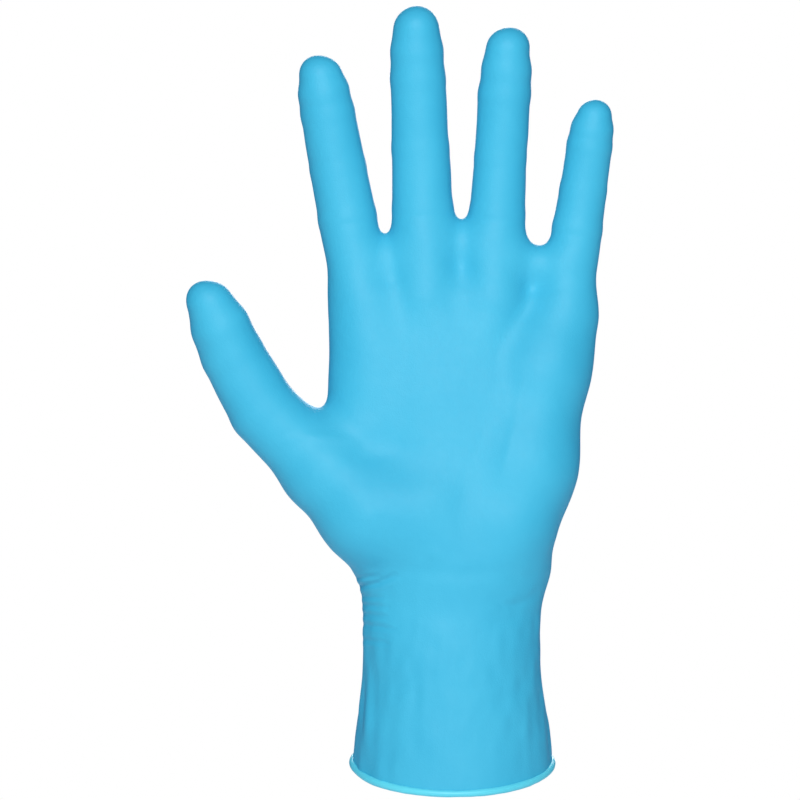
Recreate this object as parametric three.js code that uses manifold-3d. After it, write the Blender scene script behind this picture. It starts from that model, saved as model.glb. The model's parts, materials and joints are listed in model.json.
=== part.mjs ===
// A disposable nitrile examination glove, filled out as a left hand fills it.
// The film is divided into the zones that bend against each other. Each zone is a thin hollow shell.
// Millimetres. +Z runs from the cuff to the fingertips, the palm faces -Y and the thumb points to -X.
// The origin is the centre of the cuff opening.
import * as THREE from 'three';
import Module from 'manifold-3d';
import { ParametricGeometry } from 'three/addons/geometries/ParametricGeometry.js';
import { mergeVertices } from 'three/addons/utils/BufferGeometryUtils.js';

const wasm = await Module();
wasm.setup();

// Driving dimensions
const LENGTH = 230; // cuff opening's centre to the middle fingertip
const PALM_BREADTH = 82;
const PALM_DEPTH = 29;
const FILM = 0.8;
const GAP = 0.3; // clearance between neighbouring shells
const BEAD_RADIUS = 1.1;

// How finely the round shells are divided
const STALL_SIDES = 14;
const HAND_SIDES = 28;
const DOME_STEPS = 4;
const BEAD_SIDES = 8;
const MERGE = 1e-4; // vertices nearer than this are one

// Heights above the cuff opening
const WRIST_HEIGHT = 0.217 * LENGTH;
const KNUCKLE_HEIGHT = 0.615 * LENGTH;
const PALM_TOP = 0.69 * LENGTH;

// The cuff leans back from the wrist, and its opening is cut square to that lean.
const CUFF_SETBACK = 9;
const OPENING_TILT = 17;
const OPENING_HALF_BREADTH = 0.362 * PALM_BREADTH;
const OPENING_HALF_DEPTH = 26;
const WRIST_HALF_BREADTH = 0.335 * PALM_BREADTH;
const WRIST_HALF_DEPTH = 19.5;

// Stalls: a finger's hinges divide its length above the root by these shares.
const SEGMENT_SHARES = [0.3, 0.34, 0.36];
const SEGMENT_NAMES = ['proximal', 'middle', 'tip'];
const STALL_FLATNESS = 0.92; // depth over breadth
const REST_CURL = 4; // degrees that each hinge is already bent
const STUB_DEPTH = 24; // how far the root of a stall reaches into the band at the knuckles

// Degrees of bend that the shells leave room for, forward and back
const WRIST_ROOM = [62, 52];
const KNUCKLE_ROOM = [62, 17];
const ROOT_ROOM = [42, 17];
const SEGMENT_ROOM = [[92, 2], [62, 2]];
const THUMB_ROOT_ROOM = [37, 7];
const THUMB_ROOM = [[47, 7], [74, 7]];

// across and up: the root hinge. tilt: degrees from upright towards +X. radii: at the root and the tip.
const FINGERS = [
  { name: 'index', across: -32.2, up: 165.5, tilt: -10.6, length: 50.4, radii: [9.1, 7.8] },
  { name: 'middle', across: -9.7, up: 168, tilt: -2.1, length: 62.2, radii: [9.6, 7.9] },
  { name: 'ring', across: 13.1, up: 166.5, tilt: 3.6, length: 57.2, radii: [8.7, 7.6] },
  { name: 'little', across: 37.0, up: 162, tilt: 8.3, length: 40.1, radii: [7.9, 6.3] },
];

// The thumb: the swell at its root, its own hinge, and the hinge of its tip.
const THENAR = new THREE.Vector3(-22, -4, 76);
const THENAR_RADIUS = 16.5;
const THUMB_HINGE = new THREE.Vector3(-59, -8, 106.5);
// tilt and lean set its direction, and roll turns its pad towards the fingers.
const THUMB = { tilt: -28.5, lean: 8, roll: 45, lengths: [19.5, 24], radii: [10.8, 9.2, 8] };
const THUMB_CURL = 12;
const CROTCH = new THREE.Vector3(-41.5, -4, 108); // where the thumb leaves the palm's edge
const THUMB_CREASE_FOOT = new THREE.Vector3(-33.5, -4, 58);

const BLUE = 0x4fbfe6;
const BEAD_BLUE = 0x5ed2f0;
const REACH = 120; // deeper than any shell, for the cutting prisms

const radians = THREE.MathUtils.degToRad;

/** A closed geometry as a solid, with shared vertices merged and collapsed faces dropped. */
function toSolid(geometry) {
  const bare = geometry.clone();
  bare.deleteAttribute('normal');
  bare.deleteAttribute('uv');
  const merged = mergeVertices(bare, MERGE);
  const corners = merged.index.array;
  const faces = [];
  for (let i = 0; i < corners.length; i += 3) {
    const [a, b, c] = corners.slice(i, i + 3);
    if (a !== b && b !== c && c !== a) faces.push(a, b, c);
  }
  return new wasm.Manifold(new wasm.Mesh({
    numProp: 3,
    vertProperties: Float32Array.from(merged.attributes.position.array),
    triVerts: Uint32Array.from(faces),
  }));
}

/** A solid as a named mesh in the glove's own material. */
function toMesh(name, solid, color = BLUE) {
  const mesh = solid.getMesh();
  const geometry = new THREE.BufferGeometry();
  geometry.setAttribute('position', new THREE.BufferAttribute(Float32Array.from(mesh.vertProperties), 3));
  geometry.setIndex(new THREE.BufferAttribute(Uint32Array.from(mesh.triVerts), 1));
  geometry.computeVertexNormals();
  const material = new THREE.MeshStandardMaterial({ color, roughness: 0.55, metalness: 0 });
  const piece = new THREE.Mesh(geometry, material);
  piece.name = name;
  return piece;
}

/** A closed loft of elliptical rings. Each ring: across, out, up, halfBreadth, halfDepth, tilt. */
function loft(rings) {
  const first = { ...rings[0], halfBreadth: 0, halfDepth: 0 };
  const last = { ...rings.at(-1), halfBreadth: 0, halfDepth: 0 };
  const all = [first, ...rings, last];
  const surface = (around, along, target) => {
    const ring = all[Math.round(along * (all.length - 1))];
    const turn = (around % 1) * 2 * Math.PI;
    const dx = ring.halfBreadth * Math.cos(turn);
    const dy = ring.halfDepth * Math.sin(turn);
    target.set(ring.across + dx, ring.out + dy, ring.up + dy * Math.tan(radians(ring.tilt ?? 0)));
  };
  return toSolid(new ParametricGeometry(surface, HAND_SIDES, all.length - 1));
}

/** A solid of revolution about +Z from a profile that starts and ends on the axis, flattened front to back. */
function turned(profile, sides, flatness = 1) {
  const points = profile.map(([radius, height]) => new THREE.Vector2(radius, height));
  const geometry = new THREE.LatheGeometry(points, sides);
  geometry.rotateX(Math.PI / 2);
  geometry.scale(1, flatness, 1);
  return toSolid(geometry);
}

/** A prism along X that takes away all that lies below a hinge, with room to bend forward and back. */
function belowHinge([forward, back]) {
  const breadth = 2 * REACH;
  const frontRise = REACH * Math.tan(radians(forward / 2));
  const backRise = REACH * Math.tan(radians(back / 2));
  const shape = new THREE.Shape([
    new THREE.Vector2(-REACH, -REACH),
    new THREE.Vector2(REACH, -REACH),
    new THREE.Vector2(REACH, backRise + GAP / 2),
    new THREE.Vector2(0, GAP / 2),
    new THREE.Vector2(-REACH, frontRise + GAP / 2),
  ]);
  const geometry = new THREE.ExtrudeGeometry(shape, { depth: breadth, bevelEnabled: false });
  geometry.translate(0, 0, -breadth / 2);
  const [x, y, z] = [0, 1, 2].map((axis) => new THREE.Vector3().setComponent(axis, 1));
  geometry.applyMatrix4(new THREE.Matrix4().makeBasis(y, z, x));
  return toSolid(geometry);
}

/** The same prism turned over, to take away all that lies above a hinge. */
function aboveHinge(room) {
  return belowHinge(room).rotate([0, 180, 0]);
}

/** A solid made about the origin along +Z, rolled, leant forward, tilted in the hand's plane and moved. */
function placed(solid, place, tilt = 0, lean = 0, roll = 0) {
  return solid.rotate([0, 0, roll]).rotate([lean, 0, 0]).rotate([0, tilt, 0]).translate(place.toArray());
}

/** Profile of a stall's outside or inside from its foot to its round tip, or to its open end. */
function stallProfile(foot, footRadius, top, topRadius, isTip, inset) {
  const start = [[0, foot], [footRadius - inset, foot]];
  if (!isTip) return [...start, [topRadius - inset, top], [0, top]];
  const domeFoot = top - topRadius;
  const dome = [];
  for (let step = 0; step <= DOME_STEPS; step += 1) {
    const angle = (step / DOME_STEPS) * (Math.PI / 2);
    const radius = topRadius - inset;
    dome.push([step === DOME_STEPS ? 0 : radius * Math.cos(angle), domeFoot + radius * Math.sin(angle)]);
  }
  return [...start, ...dome];
}

/** One hollow zone of a stall, from its own hinge at the origin to the next one, or to the tip. */
function stallZone(length, footRadius, topRadius, isTip, roomBelow, roomAbove) {
  const past = 1; // the inside runs past both ends, so that the shell is open there
  const outside = stallProfile(0, footRadius, length, topRadius, isTip, 0);
  const top = isTip ? length : length + past;
  const inside = stallProfile(-past, footRadius, top, topRadius, isTip, FILM);
  let zone = turned(outside, STALL_SIDES, STALL_FLATNESS);
  zone = zone.subtract(turned(inside, STALL_SIDES, STALL_FLATNESS));
  zone = zone.subtract(belowHinge(roomBelow));
  if (isTip) return zone;
  return zone.subtract(aboveHinge(roomAbove).translate([0, 0, length]));
}

/** The closed outer form of the palm, the finger roots and the thumb's root, shrunk by the inset. */
function handForm(inset) {
  const shrunk = (up, across, breadthShare, depthShare) => ({
    up,
    across,
    out: 0,
    halfBreadth: breadthShare * PALM_BREADTH / 2 - inset,
    halfDepth: depthShare * PALM_DEPTH / 2 - inset,
  });
  const top = PALM_TOP - inset;
  // Height, place across, and shares of the palm's breadth and depth
  let form = loft([
    { ...shrunk(WRIST_HEIGHT - inset, 0, 0.67, 1.34) },
    { ...shrunk(0.32 * LENGTH, 0, 0.8, 1.26) },
    { ...shrunk(0.42 * LENGTH, 0.8, 0.94, 1.14) },
    { ...shrunk(0.55 * LENGTH, 2, 0.99, 0.97) },
    { ...shrunk(0.65 * LENGTH, 2.4, 1, 0.8) },
    { ...shrunk(top, 2.4, 0.93, 0.5) },
  ]);
  for (const finger of FINGERS) {
    const radius = finger.radii[0] - inset;
    const past = inset > 0 ? 1 : 0;
    let stub = turned(
      [[0, -STUB_DEPTH], [radius, -STUB_DEPTH], [radius, past], [0, past]], STALL_SIDES, STALL_FLATNESS);
    if (inset === 0) stub = stub.subtract(aboveHinge(ROOT_ROOM));
    form = form.add(placed(stub, new THREE.Vector3(finger.across, 0, finger.up), finger.tilt));
  }
  return form.add(thenarForm(inset));
}

/** The swell of the thumb's root: a cone from the palm to the thumb's hinge. */
function thenarForm(inset) {
  const run = THUMB_HINGE.clone().sub(THENAR);
  const pastHinge = 8; // the cone runs past the hinge and is cut back square to the thumb
  const reach = run.length() + pastHinge;
  const turn = THREE.MathUtils.radToDeg(Math.atan2(run.x, run.z));
  const lean = THREE.MathUtils.radToDeg(Math.asin(-run.y / run.length()));
  const narrow = THUMB.radii[0] - inset;
  const wide = THENAR_RADIUS - inset;
  const heel = 0.7 * wide; // breadth and depth of the cone's bevelled foot
  const cone = turned([[0, -heel], [heel, -heel], [wide, 0], [narrow, reach], [0, reach]], STALL_SIDES);
  const swell = placed(cone, THENAR, turn, lean);
  const past = inset > 0 ? 1 : 0;
  const cutter = aboveHinge(THUMB_ROOM[0]).translate([0, 0, past]);
  return swell.subtract(placed(cutter, THUMB_HINGE, THUMB.tilt, THUMB.lean, THUMB.roll));
}

/** The hollow shell of the hand without its finger stalls. */
const handShell = handForm(0).subtract(handForm(FILM));

/** The crease about which the thumb's root folds, as a place and a tilt. */
const creaseRun = CROTCH.clone().sub(THUMB_CREASE_FOOT);
const creasePlace = CROTCH.clone().add(THUMB_CREASE_FOOT).multiplyScalar(0.5);
const creaseAngle = THREE.MathUtils.radToDeg(Math.atan2(creaseRun.x, creaseRun.z));

/** Half of the space on one side of the thumb's crease: +1 takes the thumb away, -1 takes the palm away. */
function besideCrease(side) {
  const prism = side > 0 ? aboveHinge(THUMB_ROOT_ROOM) : belowHinge(THUMB_ROOT_ROOM);
  return placed(prism.rotate([0, -90, 0]), creasePlace, creaseAngle);
}

/** A shell's front or back half, cut along the hand's own plane. */
function half(solid, side) {
  const block = new THREE.BoxGeometry(2 * REACH, REACH, 4 * REACH);
  block.translate(0, side * (REACH / 2 - GAP / 2), LENGTH / 2);
  return solid.subtract(toSolid(block));
}

const glove = new THREE.Group();
const hand = new THREE.Group();
hand.position.y = -CUFF_SETBACK;
glove.add(hand);

/** The sleeve from the tilted opening to the wrist, and the bead rolled round the opening. */
function addCuff() {
  const ring = (share, halfBreadth, halfDepth, inset) => ({
    across: -0.3,
    out: -CUFF_SETBACK * share,
    up: WRIST_HEIGHT * share,
    halfBreadth: halfBreadth - inset,
    halfDepth: halfDepth - inset,
    tilt: OPENING_TILT * (1 - share),
  });
  const rimShare = (BEAD_RADIUS + GAP) / WRIST_HEIGHT;
  const open = 0.02; // share by which the inside runs past both ends
  // Share of the height to the wrist, half breadth and half depth
  const sleeve = (inset, past) => loft([
    ring(rimShare - past, OPENING_HALF_BREADTH, OPENING_HALF_DEPTH, inset),
    ring(0.3, 0.346 * PALM_BREADTH, 23, inset),
    ring(0.5, 0.332 * PALM_BREADTH, 20.5, inset),
    ring(0.75, 0.328 * PALM_BREADTH, 19.5, inset),
    ring(1 + past, WRIST_HALF_BREADTH, WRIST_HALF_DEPTH, inset),
  ]);
  const cutter = aboveHinge(WRIST_ROOM).translate([0, -CUFF_SETBACK, WRIST_HEIGHT]);
  const cuff = sleeve(0, 0).subtract(sleeve(FILM, open)).subtract(cutter);
  const bead = new THREE.TorusGeometry(OPENING_HALF_BREADTH, BEAD_RADIUS, BEAD_SIDES, HAND_SIDES);
  bead.scale(1, OPENING_HALF_DEPTH / OPENING_HALF_BREADTH, 1);
  bead.rotateX(radians(OPENING_TILT));
  glove.add(toMesh('cuff', cuff));
  glove.add(toMesh('rolled_bead', toSolid(bead), BEAD_BLUE));
}

/** The palm, the band at the knuckles and the thumb's root, all cut from the hand's shell. */
function addPalm() {
  const atKnuckles = [0, 0, KNUCKLE_HEIGHT];
  const palm = handShell
    .subtract(belowHinge(WRIST_ROOM).translate([0, 0, WRIST_HEIGHT]))
    .subtract(aboveHinge(KNUCKLE_ROOM).translate(atKnuckles))
    .subtract(besideCrease(1));
  const knuckles = handShell.subtract(belowHinge(KNUCKLE_ROOM).translate(atKnuckles));
  const thumbRoot = handShell.subtract(besideCrease(-1));
  hand.add(toMesh('palm_front', half(palm, 1)));
  hand.add(toMesh('palm_back', half(palm, -1)));
  hand.add(toMesh('knuckles_front', half(knuckles, 1)));
  hand.add(toMesh('knuckles_back', half(knuckles, -1)));
  hand.add(toMesh('thumb_root', thumbRoot));
}

/** A group at a hinge, named for it, turned by a roll, a bend and a tilt. */
function hingeGroup(name, place, tilt, bend, roll = 0) {
  const group = new THREE.Group();
  group.name = name;
  group.position.copy(place);
  group.rotation.set(radians(bend), radians(tilt), radians(roll), 'YXZ');
  return group;
}

/** A finger's three zones, each in a group at its hinge inside the last one's. */
function addFinger({ name, across, up, tilt, length, radii }) {
  let parent = hand;
  let place = new THREE.Vector3(across, 0, up);
  let used = 0;
  SEGMENT_SHARES.forEach((share, index) => {
    const isTip = index === SEGMENT_SHARES.length - 1;
    const [footRadius, topRadius] = [used, used + share].map((at) => THREE.MathUtils.lerp(...radii, at));
    const roomBelow = index === 0 ? ROOT_ROOM : SEGMENT_ROOM[index - 1];
    const bent = ([forward, back]) => [forward + REST_CURL * 2, back];
    const zone = stallZone(
      share * length, footRadius, topRadius, isTip, bent(roomBelow), isTip ? null : bent(SEGMENT_ROOM[index]));
    const group = hingeGroup(`${name}_${SEGMENT_NAMES[index]}_hinge`, place, index ? 0 : tilt, REST_CURL);
    group.add(toMesh(`${name}_${SEGMENT_NAMES[index]}`, zone));
    parent.add(group);
    parent = group;
    place = new THREE.Vector3(0, 0, share * length);
    used += share;
  });
}

/** The thumb's two zones beyond its root. */
function addThumb() {
  const first = hingeGroup('thumb_proximal_hinge', THUMB_HINGE, THUMB.tilt, THUMB.lean, THUMB.roll);
  const second = hingeGroup('thumb_tip_hinge', new THREE.Vector3(0, 0, THUMB.lengths[0]), 0, THUMB_CURL);
  const [root, knuckle, tip] = THUMB.radii;
  first.add(toMesh('thumb_proximal',
    stallZone(THUMB.lengths[0], root, knuckle, false, THUMB_ROOM[0], THUMB_ROOM[1])));
  second.add(toMesh('thumb_tip', stallZone(THUMB.lengths[1], knuckle, tip, true, THUMB_ROOM[1], null)));
  first.add(second);
  hand.add(first);
}

addCuff();
addPalm();
FINGERS.forEach(addFinger);
addThumb();

export default glove;
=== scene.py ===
"""A blue disposable nitrile glove, filled out as on a left hand, palm forward, fingers up.

The film is one field: smooth unions of tapered rods along the joints, meshed, creased and cut into pieces
at places that don't bend. Lengths in this script are millimetres in the frame's axes until a mesh is made.
"""

import json
import math

import bmesh
import bpy
import numpy as np
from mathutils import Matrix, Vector


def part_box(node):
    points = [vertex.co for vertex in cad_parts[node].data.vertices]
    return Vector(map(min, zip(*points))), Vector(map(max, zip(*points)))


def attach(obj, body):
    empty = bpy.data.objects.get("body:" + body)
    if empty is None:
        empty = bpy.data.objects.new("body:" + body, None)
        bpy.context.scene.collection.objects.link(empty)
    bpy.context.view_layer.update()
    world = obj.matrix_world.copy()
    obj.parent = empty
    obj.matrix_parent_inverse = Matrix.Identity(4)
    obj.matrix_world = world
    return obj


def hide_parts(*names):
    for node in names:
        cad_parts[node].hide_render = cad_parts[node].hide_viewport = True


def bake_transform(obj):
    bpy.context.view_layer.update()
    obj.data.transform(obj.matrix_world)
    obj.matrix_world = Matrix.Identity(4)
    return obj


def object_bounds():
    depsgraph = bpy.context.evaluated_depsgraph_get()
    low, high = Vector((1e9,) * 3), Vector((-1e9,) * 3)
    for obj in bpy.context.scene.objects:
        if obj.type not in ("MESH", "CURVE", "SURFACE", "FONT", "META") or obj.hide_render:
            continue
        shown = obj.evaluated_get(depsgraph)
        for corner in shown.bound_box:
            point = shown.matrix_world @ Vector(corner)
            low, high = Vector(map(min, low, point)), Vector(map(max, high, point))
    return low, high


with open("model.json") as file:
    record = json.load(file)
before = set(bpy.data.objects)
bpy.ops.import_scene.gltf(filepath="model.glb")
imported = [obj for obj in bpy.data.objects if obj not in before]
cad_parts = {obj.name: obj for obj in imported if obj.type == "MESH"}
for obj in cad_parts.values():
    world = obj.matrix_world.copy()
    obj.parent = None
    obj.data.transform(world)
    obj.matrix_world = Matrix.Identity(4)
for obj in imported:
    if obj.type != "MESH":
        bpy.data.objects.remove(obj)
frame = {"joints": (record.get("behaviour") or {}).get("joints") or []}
cad_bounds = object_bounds()

MM = 0.001
STEP = 0.8  # spacing of the grid that the film is meshed on
FILM = 0.25  # thickness of the film
BEAD = 1.1  # radius of the rolled rim
OPENING_TILT = math.radians(17)  # the opening is square to the cuff, which leans back

FINGERS = ("index", "middle", "ring", "little")
JOINTS = {joint["name"]: joint for joint in frame["joints"]}


# ---------------------------------------------------------------- places, all taken from the frame

def pivot(name):
    """A joint's place in millimetres."""
    return np.array(JOINTS[name]["pos_m"]) / MM


def unit(vector):
    return vector / np.linalg.norm(vector)


WRIST = pivot("wrist_bend")
KNUCKLE_LINE = pivot("knuckles_fold")[2]
THUMB_BASE = pivot("thumb_root_spread")
THUMB_MIDDLE = pivot("thumb_middle_bend")
THUMB_END = pivot("thumb_end_bend")
PLANE = WRIST[1]  # the hand's own plane


def from_wrist(across, out, up):
    """A place given from the wrist's pivot."""
    return WRIST + np.array([across, out, up], float)


def stall(name, dome):
    """A finger's root, middle and end pivots, and the centre of its round tip of radius dome."""
    root, middle, end = (pivot(f"{name}_{part}_bend") for part in ("root", "middle", "end"))
    first, second = unit(middle - root), unit(end - middle)
    last = unit(2 * second - first)
    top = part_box(f"{name}_tip")[1].z / MM - 0.4
    return [root, middle, end, end + last * (top - dome - end[2]) / last[2]]


# Radii at the knuckle, root, middle joint, end joint and tip of each finger
RADII = {
    "index": (8.6, 8.9, 8.5, 8.15, 6.5),
    "middle": (11.8, 9.3, 8.7, 8.3, 7.0),
    "ring": (11.4, 8.45, 7.8, 7.9, 6.6),
    "little": (7.8, 7.6, 7.1, 6.9, 5.3),
}
# How far each stall's middle line lies to the side of the pivots, and how far its tip leans
ASIDE = {"index": -0.1, "middle": 0.3, "ring": 0.0, "little": 0.5}
LEAN = {"index": -0.9, "middle": 0.4, "ring": 1.2, "little": 0.7}
STALLS = {}
for finger in FINGERS:
    STALLS[finger] = [place + np.array([ASIDE[finger], 0, 0]) for place in stall(finger, RADII[finger][4])]
KNUCKLE_DEPTH = 27  # how far below a finger's root hinge its knuckle lies


def knuckle(name):
    """Where a finger's knuckle lies inside the palm."""
    root, middle = STALLS[name][:2]
    run = unit((middle - root) * np.array([1, 0, 1]))
    return root - run * KNUCKLE_DEPTH


# The thumb: its radii at the foot, middle joint, end joint and tip, and the way its last stretch points
THUMB_RADII = (11.2, 10.5, 9.6, 7.0)
THUMB_LAST = unit(np.array([-0.3, -0.26, 0.92]))


def thumb_tip(dome):
    """The centre of the thumb's round tip."""
    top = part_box("thumb_tip")[1].z / MM
    return THUMB_END + THUMB_LAST * (top - dome - THUMB_END[2]) / THUMB_LAST[2]


# ---------------------------------------------------------------- the field: negative inside the hand

FLATNESS = 0.95  # depth of the stalls over their breadth
JOINT_BLEND = 0.8  # how widely the rods of one stall run into each other
TIP_BLEND = 0.6
PAD_BLEND = 10
THUMB_BLEND = 8
WEB_BLEND = 6
SLEEVE_BLEND = 6
SLEEVE_TOP_BLEND = 8


def smooth_union(a, b, width):
    """The union of two fields, filled out where they are within width of each other."""
    h = np.maximum(width - np.abs(a - b), 0) / width
    return np.minimum(a, b) - h * h * width / 4


def smooth_step(t):
    return t * t * (3 - 2 * t)


def rod(points, a, b, radius_a, radius_b, flatness=1.0):
    """Signed distance to a tapered rod with round ends, its depth scaled by flatness about PLANE."""
    scale = np.array([1, 1 / flatness, 1])
    centre = np.array([0, PLANE, 0])
    p, a, b = ((v - centre) * scale for v in (points, a, b))
    run = b - a
    length2 = run @ run
    fall = radius_a - radius_b
    slant2 = length2 - fall * fall
    from_a = p - a
    along = from_a @ run
    beyond = along - length2
    side2 = ((from_a * length2 - along[:, None] * run) ** 2).sum(1)
    along2 = along * along * length2
    beyond2 = beyond * beyond * length2
    limit = math.copysign(1, fall) * fall * fall * side2
    distance = (np.sqrt(side2 * slant2 / length2) + along * fall) / length2 - radius_a
    at_a = np.sqrt(side2 + along2) / length2 - radius_a
    at_b = np.sqrt(side2 + beyond2) / length2 - radius_b
    distance = np.where(np.sign(along) * slant2 * along2 < limit, at_a, distance)
    return np.where(np.sign(beyond) * slant2 * beyond2 > limit, at_b, distance)


def chain(points, places, radii):
    """Rods end to end."""
    field = None
    for a, b, radius_a, radius_b in zip(places, places[1:], radii, radii[1:]):
        part = rod(points, a, b, radius_a, radius_b, FLATNESS)
        field = part if field is None else smooth_union(field, part, JOINT_BLEND)
    return field


def with_tip(points, field, tip, dome, lean):
    """A stall's field with its round end drawn out a little and leaning."""
    apex = tip + np.array([*lean, 0.17 * dome])
    return smooth_union(field, np.linalg.norm(points - apex, axis=1) - 0.85 * dome, TIP_BLEND)


# The sleeve: height above the opening, then its centre and half breadth and depth there
SLEEVE = np.array([
    [-14, -0.2, 2.0, 30.8, 27.2],
    [0, -0.3, 0.0, 30.4, 25.8],
    [12, -0.4, -2.6, 29.1, 23.6],
    [24, -0.5, -5.0, 27.3, 21.6],
    [38, -0.7, -7.2, 27.0, 19.6],
    [50, -0.5, -8.2, 27.3, 17.6],
    [62, -0.3, -8.0, 28.4, 14.8],
])


def smooth_table(height, table):
    """Each column of a table at some heights, by a smooth curve through its rows."""
    knots = table[:, 0]
    row = np.clip(np.searchsorted(knots, height) - 1, 0, len(knots) - 2)
    span = knots[row + 1] - knots[row]
    t = np.clip((height - knots[row]) / span, 0, 1)
    values = table[:, 1:]
    slopes = np.gradient(values, knots, axis=0)
    h00, h10 = 2 * t**3 - 3 * t**2 + 1, t**3 - 2 * t**2 + t
    h01, h11 = 3 * t**2 - 2 * t**3, t**3 - t**2
    weights = (h00, h10 * span, h01, h11 * span)
    ends = (values[row], slopes[row], values[row + 1], slopes[row + 1])
    return sum(weight[:, None] * value for weight, value in zip(weights, ends)).T


SLEEVE_RISE = 13  # how far the sleeve reaches up into the palm


def sleeve_field(points):
    """The cuff and wrist: an oval tube, closed below the opening, where it is cut open later."""
    across, out, half_breadth, half_depth = smooth_table(points[:, 2], SLEEVE)
    x = (points[:, 0] - across) / half_breadth
    y = (points[:, 1] - out) / half_depth
    wall = (np.sqrt(x * x + y * y) - 1) * np.minimum(half_breadth, half_depth)
    top = points[:, 2] - (WRIST[2] + SLEEVE_RISE)
    return -smooth_union(-wall, -top, SLEEVE_TOP_BLEND)


def tip_swell(end, tip, radius, dome):
    """A place on the last stretch of a stall where it is still full, and the radius there."""
    return end + 0.55 * (tip - end), radius - 0.3 * (radius - dome)


# Where each ray of the hand starts in the wrist, from its pivot, and how thick it is there
RAY_FEET = {"index": (-12, 0, 14), "middle": (-4, 0, 12), "ring": (5, 0, 12), "little": (12, 0, 14)}
RAY_RADIUS = 13.0
# The rays' blend: its width in the palm and above the webs, and the heights from the knuckles between which
# it goes from the one to the other
RAY_BLEND = (20, 4.5)
RAY_BLEND_HEIGHTS = (-34, 20)
# Pads of the palm as rods: the two places, and the radii there
PADS = (
    (from_wrist(-26, -7, 27), from_wrist(-36, -6, 37), 13.2, 13.2),
    (from_wrist(-10, -7, 26), from_wrist(-25, -7, 25), 13.0, 13.5),
    (from_wrist(17.8, -6, 24.5), from_wrist(23.2, -4.5, 40), 12.2, 11.6),
    (from_wrist(23.2, -4.5, 40), from_wrist(28.8, -2, 70), 11.6, 9.6),
    (from_wrist(28.8, -2, 70), knuckle("little"), 9.6, 7.6),
    (from_wrist(-28, -1, 54), knuckle("index"), 10.2, 7.6),
)


def palm_field(points):
    """The four rays of the hand, each from the wrist to a fingertip, and the palm's pads.
    The rays run into each other in the palm and hardly at all above the webs."""
    start, stop = RAY_BLEND_HEIGHTS
    rise = np.clip((points[:, 2] - KNUCKLE_LINE - start) / (stop - start), 0, 1)
    width = RAY_BLEND[0] + (RAY_BLEND[1] - RAY_BLEND[0]) * smooth_step(rise)
    field = None
    for name in FINGERS:
        root, middle, end, tip = STALLS[name]
        *radii, dome = RADII[name]
        swell, thickness = tip_swell(end, tip, radii[-1], dome)
        places = [from_wrist(*RAY_FEET[name]), knuckle(name), root, middle, end, swell, tip]
        part = chain(points, places, (RAY_RADIUS, *radii, thickness, dome))
        part = with_tip(points, part, tip, dome, (LEAN[name], 0.3))
        field = part if field is None else smooth_union(field, part, width)
    for a, b, radius_a, radius_b in PADS:
        field = smooth_union(field, rod(points, a, b, radius_a, radius_b), PAD_BLEND)
    return field


# Webs: the two fingers, and how far the web lies below their hinges
WEBS = (("index", "middle", 13.0), ("middle", "ring", 8.5), ("ring", "little", 11.8))
WEB_RADIUS = 5.0
WEB_RISE = 4  # the webs' edges stand this far above those depths
WEB_INSET = 0.25  # share of the way between the fingers that a web's rod leaves out at each end


def web_field(points):
    """The webs: a rod across from each finger to the next, just below their hinges."""
    field = None
    for a, b, below in WEBS:
        drop = np.array([0, 0, -below - WEB_RADIUS + WEB_RISE])
        start, end = STALLS[a][0] + drop, STALLS[b][0] + drop
        inward = (end - start) * WEB_INSET
        part = rod(points, start + inward, end - inward, WEB_RADIUS, WEB_RADIUS)
        field = part if field is None else np.minimum(field, part)
    return field


def thumb_field(points):
    """The thumb from its root in the palm to its round tip."""
    foot = from_wrist(-42.5, -6, 42)
    middle = THUMB_MIDDLE + np.array([1.4, 0, 0.8])
    end = THUMB_END + np.array([1.5, 0, 0.3])
    *radii, dome = THUMB_RADII
    tip = thumb_tip(dome)
    swell, thickness = tip_swell(end, tip, radii[-1], dome)
    field = chain(points, [foot, middle, end, swell, tip], (*radii, thickness, dome))
    return with_tip(points, field, tip, dome, (-1.4, 0))


def hand_field(points):
    """The whole hand and sleeve."""
    field = smooth_union(palm_field(points), thumb_field(points), THUMB_BLEND)
    field = smooth_union(field, web_field(points), WEB_BLEND)
    return smooth_union(field, sleeve_field(points), SLEEVE_BLEND)


# ---------------------------------------------------------------- meshing the field

REACH_STEPS = 2.2  # a coarse cell is meshed if the surface may lie within this many of its sides
LEAST = 1e-9  # keeps a zero length from dividing


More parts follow.
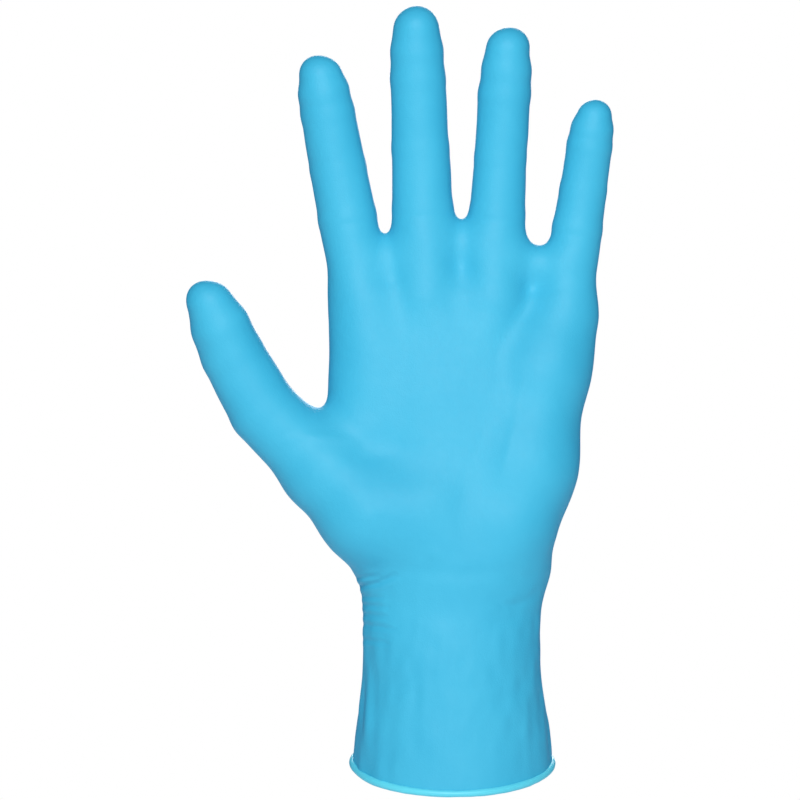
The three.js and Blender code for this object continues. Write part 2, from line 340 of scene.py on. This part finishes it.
def surface_net(field, low, high, step):
    """Quads on the field's zero surface: one vertex in each grid cell that it crosses."""
    counts = np.ceil((high - low) / step).astype(int) + 1
    axes = [low[i] + step * np.arange(counts[i]) for i in range(3)]
    coarse = 4
    thick = [axis[::coarse] for axis in axes]
    places = np.stack(np.meshgrid(*thick, indexing="ij"), -1)
    rough = field(places.reshape(-1, 3)).reshape(places.shape[:3])
    near = np.abs(rough) < REACH_STEPS * coarse * step
    values = np.repeat(np.repeat(np.repeat(rough, coarse, 0), coarse, 1), coarse, 2)
    near = np.repeat(np.repeat(np.repeat(near, coarse, 0), coarse, 1), coarse, 2)
    values = values[: counts[0], : counts[1], : counts[2]].copy()
    near = near[: counts[0], : counts[1], : counts[2]]
    cells = np.argwhere(near)
    values[near] = field(low + step * cells)
    inside = values < 0
    total = np.zeros([*(counts - 1), 3])
    crossings = np.zeros(counts - 1)
    quads = []
    edges = []
    for axis in range(3):
        ahead = [slice(None)] * 3
        behind = [slice(None)] * 3
        ahead[axis] = slice(1, None)
        behind[axis] = slice(None, -1)
        crossed = inside[tuple(ahead)] != inside[tuple(behind)]
        at = np.argwhere(crossed)
        start = values[tuple(behind)][crossed]
        share = start / (start - values[tuple(ahead)][crossed])
        place = at.astype(float)
        place[:, axis] += share
        others = [i for i in range(3) if i != axis]
        ring = []
        for shift in ((0, 0), (1, 0), (1, 1), (0, 1)):
            cell = at.copy()
            cell[:, others[0]] -= shift[0]
            cell[:, others[1]] -= shift[1]
            np.add.at(total, tuple(cell.T), place)
            np.add.at(crossings, tuple(cell.T), 1)
            ring.append(cell)
        edges.append((axis, start < 0, ring))
    index = -np.ones(counts - 1, int)
    used = np.argwhere(crossings > 0)
    index[tuple(used.T)] = np.arange(len(used))
    for axis, outward, ring in edges:
        corners = np.stack([index[tuple(cell.T)] for cell in ring], 1)
        flip = outward if axis == 1 else ~outward
        corners[flip] = corners[flip][:, ::-1]
        quads.append(corners)
    middle = total[tuple(used.T)] / crossings[tuple(used.T)][:, None]
    return low + step * middle, np.concatenate(quads)


def slope(field, points, reach=0.2):
    """The field's gradient."""
    columns = []
    for axis in range(3):
        nudge = np.zeros(3)
        nudge[axis] = reach
        columns.append((field(points + nudge) - field(points - nudge)) / (2 * reach))
    return np.stack(columns, 1)


def onto(field, points):
    """The points moved onto the field's zero surface."""
    grade = slope(field, points)
    size2 = np.maximum((grade**2).sum(1), 0.05)
    return points - (field(points) / size2)[:, None] * grade


def settle(field, points, quads, rounds=3):
    """Evens out the net's vertices and moves them back onto the surface."""
    pairs = np.concatenate([quads[:, [i, (i + 1) % 4]] for i in range(4)])
    for _ in range(rounds):
        total = np.zeros_like(points)
        count = np.zeros(len(points))
        for a, b in ((0, 1), (1, 0)):
            np.add.at(total, pairs[:, a], points[pairs[:, b]])
            np.add.at(count, pairs[:, a], 1)
        points = onto(field, points + 0.6 * (total / count[:, None] - points))
    return points


def vertex_normals(points, triangles):
    a, b, c = (points[triangles[:, corner]] for corner in range(3))
    flat = np.cross(b - a, c - a)
    normals = np.zeros_like(points)
    for corner in range(3):
        np.add.at(normals, triangles[:, corner], flat)
    return normals / np.maximum(np.linalg.norm(normals, axis=1), LEAST)[:, None]


# ---------------------------------------------------------------- where the film is cut into pieces

OPENING = unit(np.array([0, math.sin(OPENING_TILT), -math.cos(OPENING_TILT)]))  # out of the glove
UP = np.array([0.0, 0.0, 1.0])
SAFE = 0.6  # room between a cut and the bends on both sides of it

# How far each bend reaches below and above its joint, and across the crease at the thumb's root
WRIST_BEND = (21.5, 4.3)
KNUCKLE_BEND = (12, 10)
CREASE_BEND = (-3.4, 7.4)
THUMB_MIDDLE_BEND = (5, 5.5)
THUMB_END_BEND = (7, 7)
ROOT_BEND_BELOW = 2.4
# The fingers' other reaches, as shares of the length between the root and middle pivots, or middle and end
ROOT_BEND_ABOVE = 0.34
MIDDLE_BEND = (0.54, 0.6)
END_BEND = 0.3


def crease_side():
    """The direction across the crease at the thumb's root, towards the thumb."""
    side = np.cross(np.array(JOINTS["thumb_root_spread"]["axis"]), np.array([0, 1, 0]))
    return unit(side * -math.copysign(1, side[0]))


def finger_rows(name):
    """A finger's cuts and its three pieces."""
    root, middle, end = (pivot(f"{name}_{part}_bend") for part in ("root", "middle", "end"))
    first, second = middle - root, end - middle
    run = [unit(first), unit(unit(first) + unit(second)), unit(second)]
    first_length, second_length = np.linalg.norm(first), np.linalg.norm(second)
    spans = [
        (root - run[0] * ROOT_BEND_BELOW, root + first * ROOT_BEND_ABOVE),
        (middle - run[1] * MIDDLE_BEND[0] * first_length, middle + run[1] * MIDDLE_BEND[1] * first_length),
        (end - run[2] * END_BEND * second_length, end + run[2] * END_BEND * second_length),
    ]
    cuts = [(spans[0][0] - run[0] * SAFE, run[0])]
    for before, after in zip(spans, spans[1:]):
        cuts.append(((before[1] + after[0]) / 2, unit(after[0] - before[1])))
    bodies = ["knuckles", f"{name}_proximal", f"{name}_middle", f"{name}_tip"]
    rows = []
    for part, (start, stop), before, after in zip(("root", "middle", "end"), spans, bodies, bodies[1:]):
        rows.append((f"film_{name}_{part}", before, after, start, stop, [after]))
    return cuts, rows


def thumb_rows():
    """The thumb's cuts and its two pieces."""
    run = unit(THUMB_END - THUMB_MIDDLE)
    bends = ((THUMB_MIDDLE, THUMB_MIDDLE_BEND), (THUMB_END, THUMB_END_BEND))
    spans = [(place - run * below, place + run * above) for place, (below, above) in bends]
    cuts = [(spans[0][0] - run * SAFE, run), ((spans[0][1] + spans[1][0]) / 2, run)]
    return cuts, [
        ("film_thumb_middle", "thumb_root", "thumb_proximal", *spans[0], ["thumb_proximal"]),
        ("film_thumb_end", "thumb_proximal", "thumb_tip", *spans[1], ["thumb_tip"]),
    ]


def upright_bend(name, reach):
    """Where the bend about one of the hand's level joints starts and ends."""
    return pivot(name) - UP * reach[0], pivot(name) + UP * reach[1]


WRIST_CUT = WRIST[2] + WRIST_BEND[1] + SAFE
KNUCKLE_CUT = KNUCKLE_LINE - KNUCKLE_BEND[0] - SAFE
THUMB_EDGE = THUMB_MIDDLE[0] + 14  # the thumb's stall lies left of this and below THUMB_TOP
THUMB_TOP = KNUCKLE_LINE + 12

crease_span = [THUMB_BASE + crease_side() * at for at in CREASE_BEND]

# Each piece lies across one joint: name, body before and after, start and end of the bend (these four are not
# used here), nodes it replaces
PIECES = [
    ("film_cuff", "cuff", "palm", *upright_bend("wrist_bend", WRIST_BEND), ["cuff"]),
    ("film_palm", "palm", "thumb_root", *crease_span, ["palm_front", "palm_back", "thumb_root"]),
    ("film_knuckles", "palm", "knuckles", *upright_bend("knuckles_fold", KNUCKLE_BEND),
     ["knuckles_front", "knuckles_back"]),
]
STALL_ROWS = {name: finger_rows(name) for name in FINGERS}
STALL_ROWS["thumb"] = thumb_rows()
for _, rows in STALL_ROWS.values():
    PIECES += rows
NUMBER = {row[0]: number for number, row in enumerate(PIECES)}


def beside_palm(places):
    """Which places lie out on the thumb's side."""
    return (places[:, 0] < THUMB_EDGE) & (places[:, 2] < THUMB_TOP)


def in_stall(name, places):
    """Which places are nearer, in X, to this stall's line than to the others'."""
    if name == "thumb":
        return beside_palm(places)
    reach = {}
    for other in FINGERS:
        root, _, end = STALLS[other][:3]
        along = ((places - root) @ unit(end - root))[:, None] * unit(end - root)
        reach[other] = np.abs((places - root - along)[:, 0])
    nearest = np.min(list(reach.values()), axis=0)
    return (reach[name] <= nearest) & ~beside_palm(places)


def piece_numbers(centres):
    """The number of the piece that each face belongs to."""
    number = np.full(len(centres), NUMBER["film_palm"])
    number[centres[:, 2] < WRIST_CUT] = NUMBER["film_cuff"]
    number[(centres[:, 2] > KNUCKLE_CUT) & ~beside_palm(centres)] = NUMBER["film_knuckles"]
    for name, (cuts, rows) in STALL_ROWS.items():
        mine = in_stall(name, centres)
        for (place, direction), row in zip(cuts, rows):
            number[mine & ((centres - place) @ direction > 0)] = NUMBER[row[0]]
    return number


RIM_MARGIN = 0.2  # the film runs this far past the opening's plane, into the bead
RIM_SNAP = 0.05
SNAP = 0.12  # a cut moves onto vertices nearer than this
NEAR_STEPS = 2.5  # a cut looks at faces within this many steps of its plane


def cut_film(points, quads, fine):
    """The film with finer faces where fine() says so, and edges along every cut: vertices and triangles."""
    film = bmesh.new()
    corners = [film.verts.new(place) for place in points]
    for quad in quads:
        film.faces.new([corners[i] for i in quad])
    film.verts.index_update()
    chosen = fine(points)
    edges = [edge for edge in film.edges if all(chosen[vert.index] for vert in edge.verts)]
    if edges:
        bmesh.ops.subdivide_edges(film, edges=edges, cuts=1, use_grid_fill=True)
    everything = film.verts[:] + film.edges[:] + film.faces[:]
    bmesh.ops.bisect_plane(
        film, geom=everything, plane_co=Vector(OPENING * RIM_MARGIN), plane_no=Vector(OPENING),
        clear_outer=True, dist=RIM_SNAP)
    planes = [(WRIST_CUT * UP, UP, None), (KNUCKLE_CUT * UP, UP, "palm")]
    for name, (cuts, _) in STALL_ROWS.items():
        planes += [(place, direction, name) for place, direction in cuts]
    for place, direction, region in planes:
        faces = film.faces[:]
        centres = np.array([face.calc_center_median() for face in faces])
        near = np.abs((centres - place) @ direction) < NEAR_STEPS * STEP
        if region == "palm":
            near &= ~beside_palm(centres)
        elif region:
            near &= in_stall(region, centres)
        chosen = [face for face, use in zip(faces, near) if use]
        parts = set(chosen)
        for face in chosen:
            parts.update(face.verts)
            parts.update(face.edges)
        bmesh.ops.bisect_plane(
            film, geom=list(parts), plane_co=Vector(place), plane_no=Vector(direction), dist=SNAP)
    bmesh.ops.triangulate(film, faces=film.faces[:])
    film.verts.index_update()
    places = np.array([vert.co for vert in film.verts])
    triangles = np.array([[vert.index for vert in face.verts] for face in film.faces])
    film.free()
    return places, triangles


# ---------------------------------------------------------------- folds and marks in the film

def bell(value, width):
    """One at zero, falling off smoothly over width on both sides."""
    return np.exp(-((value / width) ** 2))


def to_line(points, places):
    """Distance, seen along Y, from points to a bent line, and how far along it they are, from 0 to 1."""
    places = np.array(places, float)
    best = np.full(len(points), 1e9)
    share = np.zeros(len(points))
    flat = points[:, [0, 2]]
    count = len(places) - 1
    for step, (a, b) in enumerate(zip(places, places[1:])):
        run = b - a
        t = np.clip(((flat - a) @ run) / (run @ run), 0, 1)
        distance = np.linalg.norm(flat - a - t[:, None] * run, axis=1)
        closer = distance < best
        best[closer] = distance[closer]
        share[closer] = (step + t[closer]) / count
    return best, share


def fade(share):
    """Full along the middle of a line, and nothing at its ends."""
    return np.clip(np.sin(np.pi * share), 0, 1) ** 0.6


def fold(points, places, width, depth):
    """A fold line that fades out at its ends, with the film raised a little on both sides of it."""
    distance, share = to_line(points, places)
    lips = 0.45 * bell(distance - 2 * width, width)
    return depth * fade(share) * (lips - bell(distance, width))


GOLDEN_ANGLE = math.pi * (3 - math.sqrt(5))  # spreads directions evenly


def waves(points, seed, size, count=24):
    """Smooth irregular waves of about unit height, without any grid or random draw."""
    total = np.zeros(len(points))
    for number in range(count):
        angle = seed * 1.7 + number * GOLDEN_ANGLE
        rise = 1 - 2 * (number + 0.5) / count
        level = math.sqrt(1 - rise * rise)
        direction = np.array([math.cos(angle) * level, math.sin(angle) * level, rise])
        pitch = 2 * np.pi / size * (0.75 + 0.5 * ((number * 7 + seed) % 11) / 10)
        total += np.sin(points @ direction * pitch + number * 1.3 + seed)
    return total / math.sqrt(count / 2)


WRIST_FOLD_WIDTH = 0.75
WRAP = 5  # how far each of the wrist's folds runs on round its side
# Folds on the thumb's side of the wrist, from the wrist's pivot: across, up, length, slant, depth
WRIST_FOLDS = (
    (-30, 6.5, 8, 0.10, 0.26),
    (-30, 3.6, 13, 0.34, 0.42),
    (-29, 0.6, 8, 0.02, 0.20),
    (-29, -1.8, 10, -0.03, 0.26),
    (-28, -4.6, 9, -0.05, 0.22),
    (-28, -7.8, 11, -0.10, 0.30),
    (-28, -12.2, 9, -0.12, 0.24),
)

# Faint lines of the palm's side, in millimetres across and up from the wrist's pivot: places, width, height
PALM_LINES = (
    (((21, 70), (19, 56), (16, 44), (13, 34)), 1.6, 0.22),
    (((-54, 47), (-46, 49.5), (-37, 49), (-28, 47)), 1.5, 0.2),
    (((-30, 24), (-22, 27), (-14, 25)), 1.6, 0.12),
    (((10, 1.5), (15, -1.5), (20, -1), (26, 3)), 1.3, -0.3),
    (((-26, 5), (-14, 9), (2, 8), (14, 9), (25, 6)), 2.2, -0.3),
    (((-16, -16), (-13, -26), (-15, -38)), 1.4, 0.14),
    (((15, -20), (17, -32), (14, -44)), 1.4, 0.16),
    (((21, -22), (22, -34), (20, -46)), 1.3, 0.16),
)
BUMP_PLACE = (-5.6, 14)  # a small bump of the palm's heel
BUMP_WIDTH = 1.8
BUMP_HEIGHT = 0.3


def front_marks(points):
    """Folds and ridges of the palm's side."""
    marks = np.zeros(len(points))
    wrist = WRIST[[0, 2]]
    for across, up, length, slant, depth in WRIST_FOLDS:
        start = wrist + np.array([across, up])
        bow = np.array([length * 0.55, slant * length * 0.35])
        end = np.array([length, slant * length])
        places = [start - np.array([WRAP, 0]), start, start + bow, start + end]
        marks += fold(points, places, WRIST_FOLD_WIDTH, depth)
    for places, width, height in PALM_LINES:
        distance, share = to_line(points, wrist + np.array(places))
        marks += height * bell(distance, width) * fade(share)
    away = np.linalg.norm(points[:, [0, 2]] - wrist - np.array(BUMP_PLACE), axis=1)
    return marks + BUMP_HEIGHT * bell(away, BUMP_WIDTH)


CREASE_DEPTH = 0.16
NAIL_HEIGHT = 0.28


def stall_marks(points, name):
    """The crease of a stall's root on the palm's side, and its knuckles' wrinkles and nail on the back."""
    root, middle, end, tip = STALLS[name]
    radius = RADII[name][2]
    run = unit(middle - root)
    across = unit(np.cross(run, np.array([0, 1, 0])))
    aside = bell((points - root) @ across, 0.9 * radius)
    front = points[:, 1] < root[1]
    marks = -CREASE_DEPTH * bell((points - root) @ run + 1.5, 1.3) * aside * front
    beyond = unit(end - middle)
    for place, at in ((middle, -2.4), (middle, 0), (middle, 2.4), (end, 0)):
        marks -= CREASE_DEPTH * bell((points - place) @ beyond - at, 0.9) * aside * ~front
    last = unit(tip - end)
    dome = RADII[name][4]
    wide = np.abs((points - tip) @ across) / (0.62 * dome)
    tall = np.abs((points - tip) @ last) / (0.8 * dome)
    edge = np.clip((1.12 - (wide**4 + tall**4) ** 0.25) / 0.24, 0, 1)
    return marks + NAIL_HEIGHT * smooth_step(edge) * (points[:, 1] > tip[1])


UPRIGHT_FOLDS = 0.2  # the cuff's folds at its sides, which run up and down
SMALL_FOLDS = 0.06
UNEVENNESS = 0.05  # everywhere


def film_marks(points, normals):
    """How far each place of the film stands proud of the smooth field."""
    marks = front_marks(points) * np.clip(-normals[:, 1] * 2 + 0.4, 0, 1)
    for name in FINGERS:
        mine = in_stall(name, points) & (points[:, 2] > STALLS[name][0][2] - 8)
        marks[mine] += stall_marks(points[mine], name)
    low_down = points[:, 2] < WRIST[2]
    loose = bell(points[:, 2] - 10, 24) * low_down
    sides = np.clip(np.abs(points[:, 0]) / 20 - 0.35, 0, 1)
    upright_folds = waves(points * np.array([1, 1, 0.25]), 3, 6.5)
    small_folds = waves(points * np.array([1, 1, 0.6]), 6, 5.0)
    marks += UPRIGHT_FOLDS * loose * sides * upright_folds
    marks += SMALL_FOLDS * bell(points[:, 2] - 25, 30) * small_folds
    return marks + UNEVENNESS * waves(points, 8, 13.0)


# ---------------------------------------------------------------- making the film's pieces

def fine_region(points):
    """Where the film has fine folds: the thumb's side of the wrist."""
    beside = (points[:, 0] < -8) & (np.abs(points[:, 2] - WRIST[2]) < 17)
    return beside & (points[:, 1] < PLANE + 8)


def make_mesh(name, places, faces, normals, material):
    """A smooth-shaded object of places in millimetres, with corner normals of its own if they are given."""
    mesh = bpy.data.meshes.new(name)
    mesh.from_pydata((places * MM).tolist(), [], faces.tolist())
    mesh.polygons.foreach_set("use_smooth", [True] * len(mesh.polygons))
    if normals is not None:
        mesh.normals_split_custom_set(normals.reshape(-1, 3).tolist())
    mesh.materials.append(material)
    piece = bpy.data.objects.new(name, mesh)
    bpy.context.scene.collection.objects.link(piece)
    return piece


def make_piece(name, points, normals, triangles, material):
    """One piece of the film: its outer and inner face, and walls along its edges."""
    used, outer = np.unique(triangles, return_inverse=True)
    outer = outer.reshape(-1, 3)
    skin, out = points[used], normals[used]
    count = len(used)
    places = np.concatenate([skin, skin - out * FILM])
    inner = outer[:, ::-1] + count
    sides = np.concatenate([outer[:, [i, (i + 1) % 3]] for i in range(3)])
    keys = np.minimum(sides[:, 0], sides[:, 1]) * count + np.maximum(sides[:, 0], sides[:, 1])
    _, first, times = np.unique(keys, return_index=True, return_counts=True)
    rim = sides[first[times == 1]]
    walls = np.concatenate([
        np.stack([rim[:, 1], rim[:, 0], rim[:, 0] + count], 1),
        np.stack([rim[:, 1], rim[:, 0] + count, rim[:, 1] + count], 1),
    ])
    faces = np.concatenate([outer, inner, walls])
    a, b, c = (places[walls[:, corner]] for corner in range(3))
    flat = np.cross(b - a, c - a)
    flat /= np.maximum(np.linalg.norm(flat, axis=1), LEAST)[:, None]
    corner_normals = np.concatenate([out[outer], -out[inner - count], np.repeat(flat[:, None], 3, 1)])
    return make_mesh(name, places, faces, corner_normals, material)


def make_bead(material):
    """The rolled rim: a few turns of film on the opening's edge, with the roll's own groove along it."""
    turns, sides = 200, 20
    along = np.array([1.0, 0, 0])
    back = np.cross(OPENING, along)
    angle = np.linspace(0, 2 * np.pi, turns, endpoint=False)
    ways = np.cos(angle)[:, None] * along + np.sin(angle)[:, None] * back
    near, far = np.full(turns, 10.0), np.full(turns, 50.0)
    for _ in range(24):
        middle = (near + far) / 2
        outside = hand_field(ways * middle[:, None]) > 0
        far = np.where(outside, middle, far)
        near = np.where(outside, near, middle)
    rim = ways * (near - 0.1)[:, None]
    ahead = np.roll(rim, -1, 0) - np.roll(rim, 1, 0)
    ahead /= np.linalg.norm(ahead, axis=1)[:, None]
    outward = np.cross(ahead, OPENING)
    outward *= np.sign((outward * ways).sum(1))[:, None]
    size = BEAD * (1 + 0.06 * waves(rim, 5, 14.0) + 0.02 * waves(rim, 2, 4.0))
    places = []
    for side in np.linspace(0, 2 * np.pi, sides, endpoint=False):
        groove = 1 - 0.13 * bell(math.remainder(side - 2.2, 2 * math.pi), 0.3)
        radius = (size * groove)[:, None]
        places.append(rim + OPENING * 0.3 + radius * (math.cos(side) * outward + math.sin(side) * OPENING))
    places = np.stack(places, 1).reshape(-1, 3)
    faces = []
    for turn in range(turns):
        for side in range(sides):
            here, over = turn * sides, (turn + 1) % turns * sides
            up = (side + 1) % sides
            faces.append([here + side, over + side, over + up, here + up])
    return make_mesh("rolled_bead_film", places, np.array(faces), None, material)


# ---------------------------------------------------------------- materials

# Noise scales, in waves a metre, and heights in metres
DRIFT_SCALE = 38
GLOSS_SCALE = 420
MOTTLE_SCALE = 330
GRAIN_SCALE = 2600
MOTTLE_HEIGHT = 0.0003
GRAIN_HEIGHT = 0.00012
GLOSS_SPREAD = 0.05


def nitrile(name, light, deep, roughness, grain):
    """Satin nitrile film: two close blues in soft drifts, a fine grain and a faint larger mottle."""
    material = bpy.data.materials.new(name)
    material.use_nodes = True
    nodes, links = material.node_tree.nodes, material.node_tree.links
    shader = nodes["Principled BSDF"]
    place = nodes.new("ShaderNodeTexCoord")

    def noise(scale, detail):
        node = nodes.new("ShaderNodeTexNoise")
        node.inputs["Scale"].default_value = scale
        node.inputs["Detail"].default_value = detail
        links.new(place.outputs["Object"], node.inputs["Vector"])
        return node.outputs["Fac"]

    drift = nodes.new("ShaderNodeValToRGB")
    drift.color_ramp.elements[0].position = 0.36
    drift.color_ramp.elements[0].color = (*deep, 1)
    drift.color_ramp.elements[1].position = 0.64
    drift.color_ramp.elements[1].color = (*light, 1)
    links.new(noise(DRIFT_SCALE, 4), drift.inputs["Fac"])
    links.new(drift.outputs["Color"], shader.inputs["Base Color"])

    gloss = nodes.new("ShaderNodeMapRange")
    gloss.inputs["To Min"].default_value = roughness - GLOSS_SPREAD
    gloss.inputs["To Max"].default_value = roughness + GLOSS_SPREAD
    links.new(noise(GLOSS_SCALE, 3), gloss.inputs["Value"])
    links.new(gloss.outputs["Result"], shader.inputs["Roughness"])

    fine = nodes.new("ShaderNodeBump")
    fine.inputs["Strength"].default_value = grain
    fine.inputs["Distance"].default_value = GRAIN_HEIGHT
    links.new(noise(GRAIN_SCALE, 2), fine.inputs["Height"])
    broad = nodes.new("ShaderNodeBump")
    broad.inputs["Strength"].default_value = 0.25
    broad.inputs["Distance"].default_value = MOTTLE_HEIGHT
    links.new(noise(MOTTLE_SCALE, 3), broad.inputs["Height"])
    links.new(fine.outputs["Normal"], broad.inputs["Normal"])
    links.new(broad.outputs["Normal"], shader.inputs["Normal"])
    shader.inputs["Specular IOR Level"].default_value = 0.5
    shader.inputs["IOR"].default_value = 1.45
    return material


film_material = nitrile("nitrile_film", (0.060, 0.528, 0.718), (0.053, 0.508, 0.703), 0.58, 0.5)
# The bead is the same nitrile as the film. Its paler, lighter blues are a painted highlight that stands in
# for the thick roll catching more light.
bead_painted_light_material = nitrile("nitrile_bead_painted_highlight", (0.15, 0.78, 0.86), (0.13, 0.74, 0.84), 0.4, 0.25)


# ---------------------------------------------------------------- the glove

MARGIN = 4  # room around the CAD's box for the film
low = np.array(cad_bounds[0]) / MM - MARGIN
high = np.array(cad_bounds[1]) / MM + MARGIN
points, quads = surface_net(hand_field, low, high, STEP)
points = settle(hand_field, points, quads)
points, triangles = cut_film(points, quads, fine_region)
points = np.where((points @ OPENING > 0)[:, None], points, onto(hand_field, points))
smooth_normals = vertex_normals(points, triangles)
points = points + film_marks(points, smooth_normals)[:, None] * smooth_normals
normals = vertex_normals(points, triangles)
numbers = piece_numbers(points[triangles].mean(1))
print("film:", len(points), "vertices,", len(triangles), "triangles")

for number, (name, before, after, start, end, nodes) in enumerate(PIECES):
    piece = make_piece(name, points, normals, triangles[numbers == number], film_material)
    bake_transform(piece)
    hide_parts(*nodes)

# The bead wears the lighter blue, which is a painted highlight.
bead = make_bead(bead_painted_light_material)
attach(bead, "cuff")
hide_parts("rolled_bead")


# ---------------------------------------------------------------- studio

FLOOR_DROP = 0.17  # the floor lies this far below the opening, out of the camera's view
FLOOR_WIDTH = 2.8
CAMERA_DISTANCE = 1.5
VIEW_WIDTH = 0.2428  # what the picture spans at the glove
VIEW_CENTRE = Vector((-0.0163, PLANE * MM, 0.1102))
LIT_PLACE = Vector((0, 0, 0.11))  # all lamps point here


def camera():
    """A long lens, level and straight on to the palm."""
    data = bpy.data.cameras.new("camera")
    data.sensor_width = 36
    data.lens = data.sensor_width * CAMERA_DISTANCE / VIEW_WIDTH
    data.clip_end = 20
    view = bpy.data.objects.new("camera", data)
    view.location = VIEW_CENTRE - Vector((0, CAMERA_DISTANCE, 0))
    view.rotation_euler = (math.pi / 2, 0, 0)
    bpy.context.scene.collection.objects.link(view)
    bpy.context.scene.camera = view


def lamp(name, place, size, power):
    """A square lamp of some size in metres and power in watts."""
    data = bpy.data.lights.new(name, "AREA")
    data.size = size
    data.energy = power
    light = bpy.data.objects.new(name, data)
    light.location = place
    aim = LIT_PLACE - light.location
    light.rotation_euler = aim.to_track_quat("-Z", "Y").to_euler()
    bpy.context.scene.collection.objects.link(light)


def studio():
    """A white room: bright where the camera looks past the glove, dimmer as a source of light."""
    world = bpy.data.worlds.new("studio")
    world.use_nodes = True
    bpy.context.scene.world = world
    nodes, links = world.node_tree.nodes, world.node_tree.links
    background = nodes["Background"]
    background.inputs["Color"].default_value = (0.22, 0.5, 1, 1)
    background.inputs["Strength"].default_value = 0.25
    seen = nodes.new("ShaderNodeBackground")
    seen.inputs["Color"].default_value = (1, 1, 1, 1)
    seen.inputs["Strength"].default_value = 1.0
    path = nodes.new("ShaderNodeLightPath")
    mix = nodes.new("ShaderNodeMixShader")
    links.new(path.outputs["Is Camera Ray"], mix.inputs["Fac"])
    links.new(background.outputs["Background"], mix.inputs[1])
    links.new(seen.outputs["Background"], mix.inputs[2])
    links.new(mix.outputs["Shader"], nodes["World Output"].inputs["Surface"])

    mesh = bpy.data.meshes.new("floor")
    half = FLOOR_WIDTH / 2
    corners = [(x * half, y * half, -FLOOR_DROP) for x, y in ((-1, -1), (1, -1), (1, 1), (-1, 1))]
    mesh.from_pydata(corners, [], [(0, 1, 2, 3)])
    floor = bpy.data.objects.new("floor", mesh)
    pale = bpy.data.materials.new("pale_floor")
    pale.use_nodes = True
    pale.node_tree.nodes["Principled BSDF"].inputs["Base Color"].default_value = (0.86, 0.87, 0.88, 1)
    pale.node_tree.nodes["Principled BSDF"].inputs["Roughness"].default_value = 0.9
    mesh.materials.append(pale)
    bpy.context.scene.collection.objects.link(floor)

    lamp("key", (-0.1, -1.35, 0.85), 0.5, 12)
    lamp("front", (0.0, -1.5, 0.45), 0.6, 6.5)
    lamp("back", (0.1, 1.5, 0.6), 0.8, 19)
    bpy.context.scene.view_settings.view_transform = "Standard"


camera()
studio()
